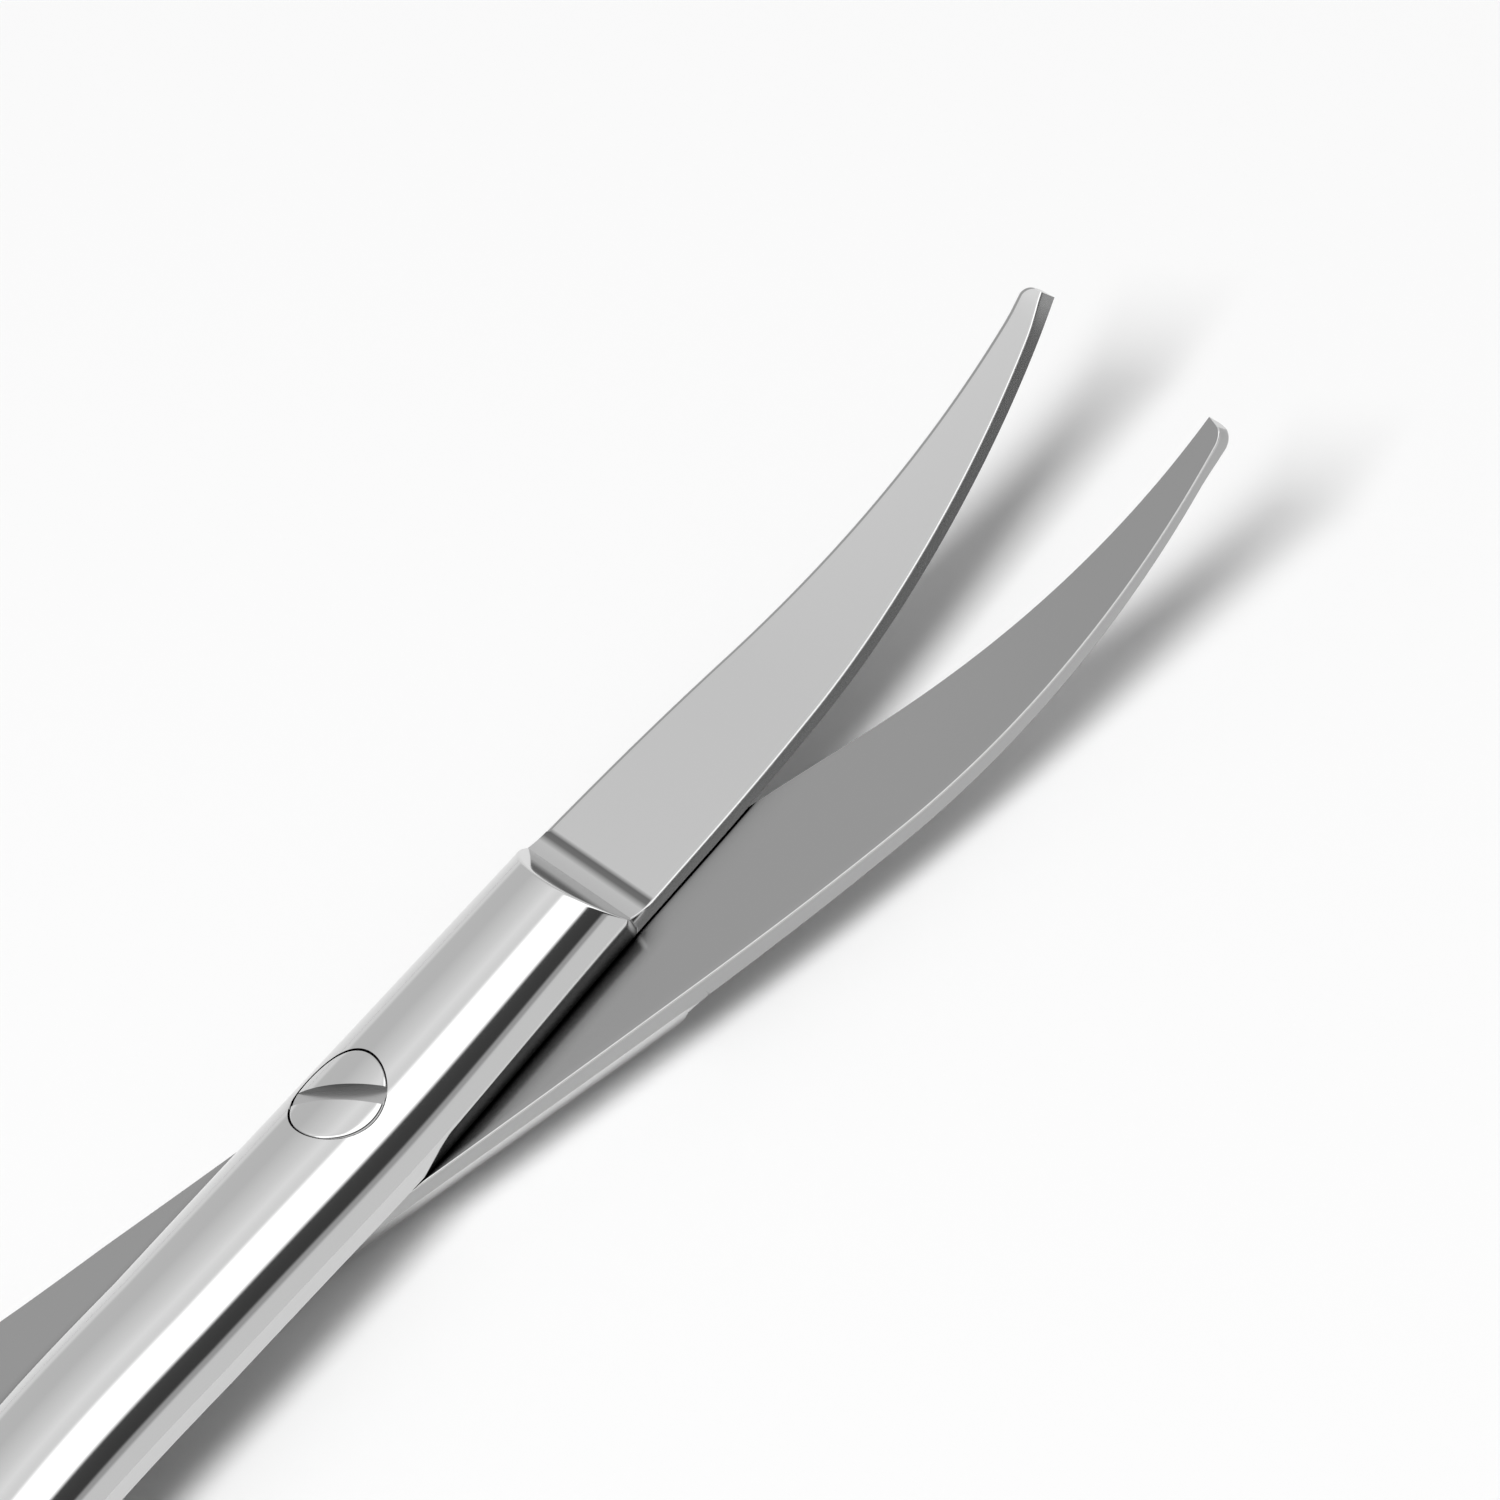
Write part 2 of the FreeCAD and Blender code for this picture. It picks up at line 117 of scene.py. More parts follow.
class HalfSettings(bpy.types.PropertyGroup):
    """Sizes of the halves and their screw; a half is drawn tip to +X, inner face down."""

    tip_reach: length("Tip reach", "Pivot axis to the lower half's tip", 35.0)
    upper_tip_short: length("Upper tip short", "The upper tip is this much shorter", 0.3)
    ring_reach: length("Ring reach", "Pivot axis to the backs of the rings", 80.2)
    rest_opening: angle("Opening", "Angle between the halves at rest", 16.2)
    ride_gap: length("Ride gap", "Between the inner faces of the halves", 0.06)
    joint_back: length("Joint's back", "Pivot axis to the back of the joint", -9.0)
    joint_half_width: length("Joint half width", "Middle line to the joint's wall", 3.05)
    joint_wall: length("Joint wall", "Height of the joint's upright walls", 0.55)
    joint_crown: length("Joint crown", "Height of the joint's crown", 2.55)
    step_rim: length("Step rim", "Pivot axis to the rim of the step", 9.57)
    step_heel: length("Step heel", "Pivot axis to the foot of the slope", 10.6)
    step_toe: length("Step toe", "Pivot axis to the end of the hollow", 11.5)
    hollow_radius: length("Hollow radius", "Radius of the ground hollow", 2.1)
    step_corner: length("Step corner", "Round end of the joint's wall", 0.4)
    belly_x: length("Belly", "Pivot axis to where the outline turns in", 16.5)
    middle_x: length("Middle", "Pivot axis to the middle of the blade", 25.5)
    edge_at_step: length("Edge at step", "Middle line to the edge at the rim", 2.59)
    edge_at_belly: length("Edge at belly", "Middle line to the edge at the belly", 2.29)
    edge_at_middle: length("Edge at middle", "Middle line to the edge at the middle", 1.40)
    edge_at_tip: length("Edge at tip", "Middle line to the edge past the tip", 0.40)
    spine_at_step: length("Spine at step", "Middle line to the spine at the rim", 2.97)
    spine_at_belly: length("Spine at belly", "Middle line to the spine at the belly", 2.77)
    spine_at_middle: length("Spine at middle", "Middle line to the spine at the middle", 1.88)
    spine_at_tip: length("Spine at tip", "Middle line to the spine past the tip", 0.48)
    tip_spare: length("Tip spare", "The outline is drawn this far past the tip", 0.5)
    tip_round: length("Tip round", "Round corner of the tip", 0.4)
    thick_at_step: length("Thick at step", "Spine thickness at the rim", 0.88)
    thick_at_tip: length("Thick at tip", "Spine thickness at the tip", 0.54)
    spine_round: length("Spine round", "Rounding along the blade's spine", 0.22)
    bevel_width_at_step: length("Bevel width at step", "Honed bevel's width", 0.22)
    bevel_width_at_tip: length("Bevel width at tip", "Honed bevel's width", 0.3)
    bevel_height_at_step: length("Bevel height at step", "Bevel's top above the inner face", 0.28)
    bevel_height_at_tip: length("Bevel height at tip", "Bevel's top above the inner face", 0.36)
    bend_start: length("Bend start", "Pivot axis to the start of the upward curve", 19.7)
    bend_radius: length("Bend radius", "Radius of the upward curve", 31.3)
    lap_end: length("Lap end", "Where the halves stop lying over each other", -16.0)
    split_x: length("Split", "Where the shanks' inner edges have parted", -31.0)
    full_before_ring: length("Full section", "Ring front to the full round section", 8.15)
    shank_half_height: length("Shank half height", "Half height of the full section", 1.65)
    shank_wall: length("Shank wall", "Half height of the shank's walls", 0.3)
    ring_length: length("Ring length", "Length of the finger opening", 22.0)
    ring_width: length("Ring width", "Width of the finger opening", 18.0)
    ring_round: length("Ring round", "Radius of the ring's round outside", 1.65)
    ring_flat: length("Ring flat", "Ring's middle line to its flat inside", 1.2)
    ring_bevel: length("Ring bevel", "Bevel on both edges of the flat", 0.55)
    ring_end_radius: length("Ring end radius", "Middle line at the ring's ends", 9.5)
    ring_gap: length("Ring gap", "Between the rings when shut", 1.2)
    entry_inner_angle: angle("Inner entry", "Inner end of the shank on the ring", 62.0)
    entry_outer_angle: angle("Outer entry", "Outer end of the shank on the ring", 17.0)
    flare_foot_height: length("Flare foot", "Half height of the shank's flared foot", 1.3)
    head_radius: length("Head radius", "Radius of the screw's head", 1.71)
    head_depth: length("Head depth", "Crown to the start of the head's cone", 0.85)
    neck_radius: length("Neck radius", "Radius of the screw below the head", 1.15)
    thread_radius: length("Thread radius", "Radius of the screw's threaded end", 0.95)
    screw_clearance: length("Screw clearance", "Round the screw in the upper half", 0.04)
    thread_clearance: length("Thread clearance", "Round the screw in the lower half", 0.02)
    slot_width: length("Slot width", "Slot across the screw's head", 0.6)
    slot_depth: length("Slot depth", "Depth of the slot below the crown", 0.4)
    slot_angle: angle("Slot angle", "Turn of the slot from the middle line", -50.0)
    screw_softness: length("Screw softness", "Rounding of the head's rim", 0.1)
    edge_softness: length("Edge softness", "Radius that polishing leaves on the edges", 0.05)
    rim_softness: length("Rim softness", "Rounding of the rim above the step", 0.12)


def smooth_line(knots):
    """Natural cubic curve through (position, value) pairs, as a function of position."""
    places, values = zip(*knots)
    last = len(knots) - 1
    gaps = [b - a for a, b in zip(places, places[1:])]
    slopes = [(b - a) / gap for a, b, gap in zip(values, values[1:], gaps)]
    share = [0.0] * (last + 1)
    bend = [0.0] * (last + 1)
    for i in range(1, last):
        pivot = 2 * (gaps[i - 1] + gaps[i]) - gaps[i - 1] * share[i - 1]
        share[i] = gaps[i] / pivot
        bend[i] = (6 * (slopes[i] - slopes[i - 1]) - gaps[i - 1] * bend[i - 1]) / pivot
    for i in reversed(range(1, last)):
        bend[i] -= share[i] * bend[i + 1]

    def value(place):
        i = next((k for k in range(1, last) if place < places[k]), last)
        gap, past, left = gaps[i - 1], place - places[i - 1], places[i] - place
        curved = (bend[i - 1] * left ** 3 + bend[i] * past ** 3) / (6 * gap)
        return (curved + (values[i - 1] / gap - bend[i - 1] * gap / 6) * left
                + (values[i] / gap - bend[i] * gap / 6) * past)

    return value


def ease(x, start, end):
    """Eased ramp from 0 at start to 1 at end."""
    share = min(max((x - start) / (end - start), 0.0), 1.0)
    return share * share * (3 - 2 * share)


def arc_height(across, half_width, wall, top):
    """Height of an arc that stands on walls at both sides of a strip."""
    rise = top - wall
    radius = (half_width ** 2 + rise ** 2) / (2 * rise)
    return top - radius + np.sqrt(np.maximum(radius ** 2 - across ** 2, 0.0))


def soft_lower(a, b, softness):
    """The lower of two heights, rounded where they meet."""
    mix = np.maximum(softness - np.abs(a - b), 0.0) / softness
    return np.minimum(a, b) - mix ** 2 * softness / 4


POLISHED, SATIN, LAPPED, BEVEL, SIDE = range(5)
CROWN_ANGLE = math.radians(66)  # spreads the points over the tops as over the joint's crown
LEAN_RUN = 1.5 * MM  # over which the sections lean over to the square end of the tip

# Faces across each strip of a section: inner face, spine wall, top, edge wall, bevel
STRIP_STEPS = (14, 3, 96, 4, 3)
CORNER_STEPS = (0, 5, 8, 5, 5)  # and across the corner before each strip
CORNER_LIMIT = 0.45  # the most of a side that a corner's round takes up
ARC_WEIGHT = math.sqrt(0.5)  # pulls a corner's curve into the arc of a quarter turn

# The shank's edges, as (x, y) in millimetres: first from the pivot, then the points
# of the straight grip, the neck and the flare from the front of the ring
LAP_INNER, LAP_OUTER = 3.0, -3.15
BOW_INNER, BOW_OUTER = (-23.5, 1.55), (-23.5, -4.1)
SPLIT_INNER, SPLIT_OUTER = -0.35, -5.0
GRIP_INNER = ((12.15, -1.85), (2.65, -2.2))
GRIP_OUTER = ((13.15, -5.7), (6.15, -5.95), (2.25, -7.3))
FLARE_LEAD = Vector((3.0, 1.0))  # how the inner edge comes up to the ring

# Sections along a half, and how far apart they stand
LAST_MARK = 7  # number of the last point along each edge of the shank
SHANK_ROWS = 140
SHANK_X = -1.0  # stands for every place along the shank when its finishes are chosen
RIM_LEAD = 0.25 * MM  # of the joint, drawn as finely as the rim of the step
JOINT_SPACING = 0.4 * MM
RIM_SPACING = 0.025 * MM
HOLLOW_SPACING = 0.05 * MM
BLADE_SPACING = 0.35 * MM
TIP_ROWS = 10
WELD = 1e-4 * MM  # points nearer than this become one

BAR_STEPS = 16  # faces over the round outside of the ring's bar
ARC_STEPS = 48  # faces along each of the ring's four arcs


def corner_run(before, corner, after, steps):
    """Points of the round between two sides of a corner, without its ends."""
    run = []
    for i in range(1, steps):
        t = i / steps
        parts = (1 - t) ** 2, 2 * t * (1 - t) * ARC_WEIGHT, t * t
        total = parts[0] * before + parts[1] * corner + parts[2] * after
        run.append(total / sum(parts))
    return run


class Half:
    """Form of one half in its own frame: x to the tip, y to the spine, rise from the inner face."""

    def __init__(self, size, side):
        self.size = size
        self.side = side
        self.foot = size.ride_gap / 2
        self.reach = size.tip_reach - (size.upper_tip_short if side > 0 else 0)
        joint = [(x, size.joint_half_width) for x in (size.joint_back, size.joint_back / 2, 0)]
        xs = (size.step_rim, size.belly_x, size.middle_x, size.tip_reach + size.tip_spare)
        self.edge = smooth_line(joint + list(zip(xs, (
            size.edge_at_step, size.edge_at_belly, size.edge_at_middle, size.edge_at_tip))))
        self.spine = smooth_line(joint + list(zip(xs, (
            size.spine_at_step, size.spine_at_belly, size.spine_at_middle, size.spine_at_tip))))
        self.ring_half_length = size.ring_length / 2 + size.ring_flat
        self.ring_half_width = size.ring_width / 2 + size.ring_flat
        self.ring_front = size.ring_round + 2 * self.ring_half_length - size.ring_reach
        self.ring_centre = Vector((
            self.ring_front - self.ring_half_length,
            -size.ring_gap / 2 - size.ring_round - self.ring_half_width))
        self.full_x = self.ring_front + size.full_before_ring
        self.shank_lines = self.shank_curves()

    def along_blade(self, name, x):
        """A size at x that changes evenly from the step to the tip."""
        size = self.size
        at_step, at_tip = getattr(size, name + "_at_step"), getattr(size, name + "_at_tip")
        return at_step + (at_tip - at_step) * (x - size.step_rim) / (size.tip_reach - size.step_rim)

    def bevel(self, x):
        """Width and height of the cutting bevel at x."""
        return self.along_blade("bevel_width", x), self.along_blade("bevel_height", x)

    def outer_face(self, x, y):
        """Rise of the blade's flat outer face, from the bevel's top up to the spine."""
        width, height = self.bevel(x)
        low, high = width - self.edge(x), self.spine(x)
        return height + (self.along_blade("thick", x) - height) * (y - low) / (high - low)

    def crown(self, x, y):
        """Rise of the joint's round crown, which narrows with the outline."""
        size = self.size
        edge, spine = self.edge(x), self.spine(x)
        front_wall = self.along_blade("thick", size.step_toe) - size.spine_round
        wall = size.joint_wall + (front_wall - size.joint_wall) * ease(x, 0, size.step_toe)
        return arc_height(y - (spine - edge) / 2, (spine + edge) / 2, wall, size.joint_crown)

    def step_rise(self, x, y):
        """Rise of the hollow at the foot of the step, and of the slope above it."""
        size = self.size
        rise = self.outer_face(size.step_toe, y) + self.hollow(max(x, size.step_heel))
        heel = self.outer_face(size.step_toe, 0) + self.hollow(size.step_heel)
        lean = (size.joint_crown - heel) / (size.step_heel - size.step_rim)
        return rise + lean * max(size.step_heel - x, 0.0)

    def hollow(self, x):
        """Rise of the hollow over the blade's outer face."""
        radius = self.size.hollow_radius
        return radius - math.sqrt(radius ** 2 - (self.size.step_toe - x) ** 2)

    def top_rise(self, x, y):
        """Rise of everything in front of the shank that faces away from the inner face."""
        size = self.size
        if x >= size.step_toe:
            return self.outer_face(x, y)
        crown = self.crown(x, y)
        # Further back than this the slope stands too high to touch the crown
        if x < size.step_rim - 4 * size.rim_softness:
            return crown
        return soft_lower(crown, self.step_rise(x, y), size.rim_softness)

    def front_row(self, x):
        """Section of the joint or the blade at x."""
        size = self.size
        edge, high = self.edge(x), self.spine(x)
        low = low_foot = cut = -edge
        wall_foot = self.foot
        corner_x = size.step_heel - size.step_corner
        if x > corner_x:
            width, height = self.bevel(x)
            start = -self.edge(corner_x)
            end = self.bevel(size.step_heel)[0] - self.edge(size.step_heel)
            turn = min((x - corner_x) / size.step_corner, 1.0)
            low = start + (end - start) * (1 - math.sqrt(1 - turn ** 2))
            if x > size.step_heel:
                low = width - edge
            cut = min(low, self.foot * width / height - edge)
            soft = size.edge_softness / 2 * ease(x, size.step_heel, size.step_toe)
            low, low_foot = low + soft, low - soft
            wall_foot = max(self.foot, (low_foot + edge) * height / width)
        past = x - (self.reach - size.tip_round)
        if past > 0:
            high -= size.tip_round - math.sqrt(max(size.tip_round ** 2 - past ** 2, 0.0))
        blade = ease(x, corner_x, size.step_toe)
        round_top = size.edge_softness + (size.spine_round - size.edge_softness) * blade
        return self.section(
            Vector((x, 0)), Vector((0, 1)), (cut, high, low), (low_foot, wall_foot),
            lambda y: self.top_rise(x, y), lambda y: self.foot + 0 * y, round_top)

    def section(self, origin, across, sides, bevel_top, top, under, round_top):
        """Closed run of points round a section: inner face, spine wall, top, edge wall, bevel.

        The sides are where the inner face begins and where the spine and the edge wall stand,
        and top and under give the rise of the two faces.
        """
        cut, high, low = sides
        corners = [np.array(corner) for corner in (
            (cut, under(cut)), (high, under(high)), (high, top(high)), (low, top(low)), bevel_top)]
        ends = corners[1:] + corners[:1]
        soft = self.size.edge_softness
        lengths = [np.linalg.norm(b - a) for a, b in zip(corners, ends)]
        radii = [min(radius, CORNER_LIMIT * lengths[i - 1], CORNER_LIMIT * lengths[i])
                 for i, radius in enumerate((0.0, soft, round_top, soft, soft))]
        strips = []
        for i, (a, b) in enumerate(zip(corners, ends)):
            start, end = radii[i], radii[(i + 1) % len(radii)]
            steps = STRIP_STEPS[i]
            if i in (0, 2):
                rise = under if i == 0 else top
                ys = self.spread(a[0], b[0], start, end, rise, steps)
                strips.append([np.array((y, rise(y))) for y in ys])
            elif lengths[i] > 0:
                shares = np.linspace(start / lengths[i], 1 - end / lengths[i], steps + 1)
                strips.append([a + (b - a) * share for share in shares])
            else:
                strips.append([a] * (steps + 1))
        points = []
        for i, strip in enumerate(strips):
            if CORNER_STEPS[i]:
                points += corner_run(strips[i - 1][-1], corners[i], strip[0], CORNER_STEPS[i])
            points += strip
        return [(*(origin + across * float(y)), float(rise)) for y, rise in points]

    def spread(self, first, last, start, end, rise, steps):
        """Places across a strip that is trimmed by a length at each end."""
        tiny = (last - first) * 1e-3
        lean_first = (rise(first + tiny) - rise(first)) / tiny
        lean_last = (rise(last) - rise(last - tiny)) / tiny
        step = 1 if last > first else -1
        first_in = first + step * start / math.hypot(1, lean_first)
        last_in = last - step * end / math.hypot(1, lean_last)
        middle, half = (first + last) / 2, (last - first) / 2
        turns = [math.asin((y - middle) / half * math.sin(CROWN_ANGLE))
                 for y in (first_in, last_in)]
        return middle + half * np.sin(np.linspace(*turns, steps + 1)) / math.sin(CROWN_ANGLE)

    def on_ring(self, turn):
        """Point of the ring's middle line, for the ends of the shank's edges."""
        return self.ring_centre + Vector((
            self.ring_half_length * math.cos(turn), self.ring_half_width * math.sin(turn)))

    def shank_curves(self):
        """Inner and outer edge of the shank, flaring into the ring; equal marks match."""
        size = self.size
        inner_end = self.on_ring(size.entry_inner_angle)
        outer_end = self.on_ring(size.entry_outer_angle)

        def marks(half, lap, bow, split, grip, ends):
            return [
                (size.joint_back, half), (size.lap_end, lap * MM), (bow[0] * MM, bow[1] * MM),
                (size.split_x, split * MM),
                *((self.ring_front + x * MM, y * MM) for x, y in grip), *ends]

        half = size.joint_half_width
        inner = marks(half, LAP_INNER, BOW_INNER, SPLIT_INNER, GRIP_INNER,
                      (inner_end + FLARE_LEAD * MM, inner_end))
        outer = marks(-half, LAP_OUTER, BOW_OUTER, SPLIT_OUTER, GRIP_OUTER, (outer_end,))
        return [smooth_line(list(enumerate(p[axis] for p in points)))
                for points in (inner, outer) for axis in (0, 1)]

    def shank_row(self, mark):
        """Upright section of the shank: flat below at the joint, round at the ring."""
        size = self.size
        values = [line(mark) for line in self.shank_lines]
        inner, outer = Vector(values[:2]), Vector(values[2:])
        x = (inner.x + outer.x) / 2
        thinning = ease(x, size.lap_end, self.full_x) if x > self.full_x else 1.0
        rounding = ease(x, size.split_x, self.full_x) if x > self.full_x else 1.0
        foot = ease(x, self.full_x, self.ring_front)
        half_height = size.shank_half_height
        half_height += (size.flare_foot_height - half_height) * foot
        crown = size.joint_crown + (half_height - size.joint_crown) * thinning
        wall_top = size.joint_wall + (size.shank_wall - size.joint_wall) * thinning
        wall_foot = self.foot - (size.shank_wall + self.foot) * rounding
        belly = self.foot - (half_height + self.foot) * rounding
        half = (inner - outer).length / 2

        def under(across):
            if rounding <= 0:
                return self.foot + 0 * across
            return -arc_height(across, half, -wall_foot, -belly)

        return self.section(
            (inner + outer) / 2, (inner - outer).normalized(), (-half, half, -half),
            (-half, wall_foot), lambda across: arc_height(across, half, wall_top, crown),
            under, size.edge_softness)

    def rows(self):
        """All sections from the shank's foot to the tip, with the x of each."""
        size = self.size
        marks = np.linspace(LAST_MARK, 0, SHANK_ROWS + 1)[:-1]
        rows = [(SHANK_X, self.shank_row(mark)) for mark in marks]
        round_end = self.reach - size.tip_round
        stretches = [
            (size.joint_back, size.step_rim - RIM_LEAD, JOINT_SPACING),
            (size.step_rim - RIM_LEAD, size.step_heel, RIM_SPACING),
            (size.step_heel, size.step_toe, HOLLOW_SPACING),
            (size.step_toe, round_end, BLADE_SPACING)]
        for start, end, spacing in stretches:
            count = round((end - start) / spacing)
            rows += [(x, self.front_row(x)) for x in np.linspace(start, end, count + 1)[:-1]]
        for turn in np.linspace(0, math.pi / 2, TIP_ROWS + 1):
            x = round_end + size.tip_round * math.sin(turn)
            rows.append((x, self.front_row(x)))
        return rows

    def placed(self, x, y, rise):
        """A point of the half's own frame at its place in the opened scissors."""
        size, side = self.size, self.side
        past = math.hypot(x, y) - size.bend_start if x > 0 else 0.0
        lift = size.bend_radius - math.sqrt(size.bend_radius ** 2 - past ** 2) if past > 0 else 0.0
        lean = x - (self.reach - LEAN_RUN)
        if lean > 0:
            tilt = math.asin((self.reach - size.bend_start) / size.bend_radius)
            x -= side * rise * math.tan(tilt) * ease(lean, 0, LEAN_RUN)
        point = Vector((x, side * y, lift + side * rise))
        return Matrix.Rotation(side * size.rest_opening / 2, 3, "Z") @ point

    def finish_of(self, strip, corner, x):
        """Finish of a strip's faces, or of the corner before the strip, at x."""
        if strip == 0:
            return LAPPED
        if strip == 4:
            return BEVEL
        if strip == 1 and x > self.size.joint_back / 2:
            return POLISHED if corner else SIDE
        if strip == 2 and corner and x > self.size.joint_back / 2:
            return SIDE
        if strip == 3 or x < self.size.step_heel:
            return POLISHED
        return SATIN

    def body(self):
        """Closed mesh of the shank, joint and blade."""
        mesh = bmesh.new()
        rows = self.rows()
        grid = [[mesh.verts.new(self.placed(*point)) for point in points] for _, points in rows]
        strips = []
        for i, steps in enumerate(STRIP_STEPS):
            strips += [(i, True)] * max(CORNER_STEPS[i], 1) + [(i, False)] * steps
        for (x, _), lower, upper in zip(rows, grid, grid[1:]):
            for i, place in enumerate(strips):
                face = mesh.faces.new((lower[i - 1], lower[i], upper[i], upper[i - 1]))
                face.material_index = self.finish_of(*place, x)
        mesh.faces.new(grid[0])
        mesh.faces.new(grid[-1])
        bmesh.ops.remove_doubles(mesh, verts=mesh.verts, dist=WELD)
        return mesh

    def ring(self):
        """Closed mesh of the finger ring: four arcs of a bar, round outside and flat inside."""
        size = self.size
        inset = self.ring_half_length - size.ring_end_radius
        rise = self.ring_half_width - size.ring_end_radius
        side_radius = (
            inset ** 2 + self.ring_half_width ** 2 - size.ring_end_radius ** 2) / (2 * rise)
        drop = side_radius - self.ring_half_width
        turn = math.atan2(drop, inset)
        arcs = (
            ((inset, 0), size.ring_end_radius, -turn, turn),
            ((0, -drop), side_radius, turn, math.pi - turn),
            ((-inset, 0), size.ring_end_radius, math.pi - turn, math.pi + turn),
            ((0, drop), side_radius, math.pi + turn, 2 * math.pi - turn))
        radius, flat, bevel = size.ring_round, size.ring_flat, size.ring_bevel
        profile = [(radius * math.cos(a), radius * math.sin(a))
                   for a in np.linspace(-math.pi / 2, math.pi / 2, BAR_STEPS + 1)]
        profile += [
            (bevel - flat, radius), (-flat, radius - bevel), (-flat, bevel - radius),
            (bevel - flat, -radius)]
        mesh = bmesh.new()
        grid = []
        for offset, bar_radius, start, end in arcs:
            for a in np.linspace(start, end, ARC_STEPS + 1)[:-1]:
                ray = Vector((math.cos(a), math.sin(a)))
                centre = self.ring_centre + Vector(offset) + ray * bar_radius
                grid.append([mesh.verts.new(self.placed(*(centre + ray * out), up))
                             for out, up in profile])
        for i in range(len(grid)):
            for j in range(len(profile)):
                mesh.faces.new((grid[i - 1][j - 1], grid[i - 1][j], grid[i][j], grid[i][j - 1]))
        return mesh


SEGMENTS = 96  # round the screw and its hole
HEAD_RINGS, RIM_RINGS, END_RINGS = 16, 6, 10  # of points on the screw's head, rim and far end
CENTRE_SHARE = 0.03  # of a radius, where the innermost ring lies


def turned(column_at):
    """Closed mesh round the pivot axis, from a function that gives the points at a turn."""
    mesh = bmesh.new()
    turns = [2 * math.pi * i / SEGMENTS for i in range(SEGMENTS)]
    grid = [[mesh.verts.new(point) for point in column_at(turn)] for turn in turns]
    for i in range(SEGMENTS):
        for j in range(1, len(grid[0])):
            mesh.faces.new((grid[i - 1][j - 1], grid[i - 1][j], grid[i][j], grid[i][j - 1]))
    mesh.faces.new([column[0] for column in grid])
    mesh.faces.new([column[-1] for column in grid])
    return mesh


def lathe(profile):
    """Closed mesh turned about the pivot axis from (radius, height) points."""
    return turned(lambda turn: [(r * math.cos(turn), r * math.sin(turn), z) for r, z in profile])


def screw_body(size):
    """The pivot screw without its slot: both ends follow the crowns of the joint."""
    upper, lower = Half(size, 1), Half(size, -1)

    def crown_point(half, radius, turn):
        own = turn - half.side * size.rest_opening / 2
        rise = half.crown(radius * math.cos(own), half.side * radius * math.sin(own))
        return radius * math.cos(turn), radius * math.sin(turn), half.side * rise

    def column(turn):
        points = []
        rim_start = size.head_radius - size.screw_softness
        for radius in np.linspace(CENTRE_SHARE, 1, HEAD_RINGS) * rim_start:
            points.append(crown_point(upper, radius, turn))
        for bend in np.linspace(0, math.pi / 2, RIM_RINGS + 1)[1:]:
            radius = size.head_radius - size.screw_softness * (1 - math.sin(bend))
            x, y, z = crown_point(upper, radius, turn)
            points.append((x, y, z - size.screw_softness * (1 - math.cos(bend))))
        cone_top = size.joint_crown - size.head_depth
        for radius, z in (
                (size.head_radius, cone_top),
                (size.neck_radius, cone_top - size.head_radius + size.neck_radius),
                (size.neck_radius, -size.ride_gap / 2), (size.thread_radius, -size.ride_gap / 2)):
            points.append((radius * math.cos(turn), radius * math.sin(turn), z))
        for radius in np.linspace(1, CENTRE_SHARE, END_RINGS) * size.thread_radius:
            points.append(crown_point(lower, radius, turn))
        return points

    return turned(column)


def slot_tool(size):
    """Box that cuts the slot; its walls take the second finish and its floor the third."""
    mesh = bmesh.new()
    bmesh.ops.create_cube(mesh, size=1.0)
    for face in mesh.faces:
        upright = abs(face.normal.z) < 0.5
        face.material_index = 1 if upright else 2
    # Longer than the head is wide, and half of it stands above the crown
    box = 4 * size.head_radius, size.slot_width, 2 * size.slot_depth
    bmesh.ops.scale(mesh, vec=box, verts=mesh.verts)
    bmesh.ops.translate(mesh, vec=(0, 0, size.joint_crown), verts=mesh.verts)
    bmesh.ops.rotate(mesh, matrix=Matrix.Rotation(size.slot_angle, 3, "Z"), verts=mesh.verts)
    return mesh


def screw_hole(size, side):
    """Tool that cuts the countersunk seat in the upper half or the threaded hole in the lower."""
    far = 2 * size.joint_crown
    if side < 0:
        radius = size.thread_radius + size.thread_clearance
        return lathe([(radius, -far), (radius, size.ride_gap)])
    radius = size.head_radius + size.screw_clearance
    neck = size.neck_radius + size.screw_clearance
    cone_top = size.joint_crown - size.head_depth
    return lathe([
        (neck, -size.ride_gap), (neck, cone_top - radius + neck),
        (radius, cone_top), (radius, far)])


def new_piece(name, mesh, materials):
    """Object made from an edited mesh, with its faces turned outward."""
    bmesh.ops.recalc_face_normals(mesh, faces=mesh.faces)
    data = bpy.data.meshes.new(name)
    mesh.to_mesh(data)
    mesh.free()
    for material in materials:
        data.materials.append(material)
    piece = bpy.data.objects.new(name, data)
    bpy.context.scene.collection.objects.link(piece)
    return piece


SHARP_ANGLE = math.radians(32)  # edges that turn more than this stay crisp


def joined(body, tools):
    """Applies (operation, tool) pairs to a body, removes the tools and smooths the shading."""
    for operation, tool in tools:
        change = body.modifiers.new(operation, "BOOLEAN")
        change.operation = operation
        change.solver = "MANIFOLD"
        change.object = tool
    graph = bpy.context.evaluated_depsgraph_get()
    result = bpy.data.meshes.new_from_object(body.evaluated_get(graph))
    body.modifiers.clear()
    body.data = result
    for _, tool in tools:
        bpy.data.objects.remove(tool)
    if not result.polygons:
        raise RuntimeError(f"{body.name} came out empty")
    result.shade_smooth()
    result.set_sharp_from_angle(angle=SHARP_ANGLE)


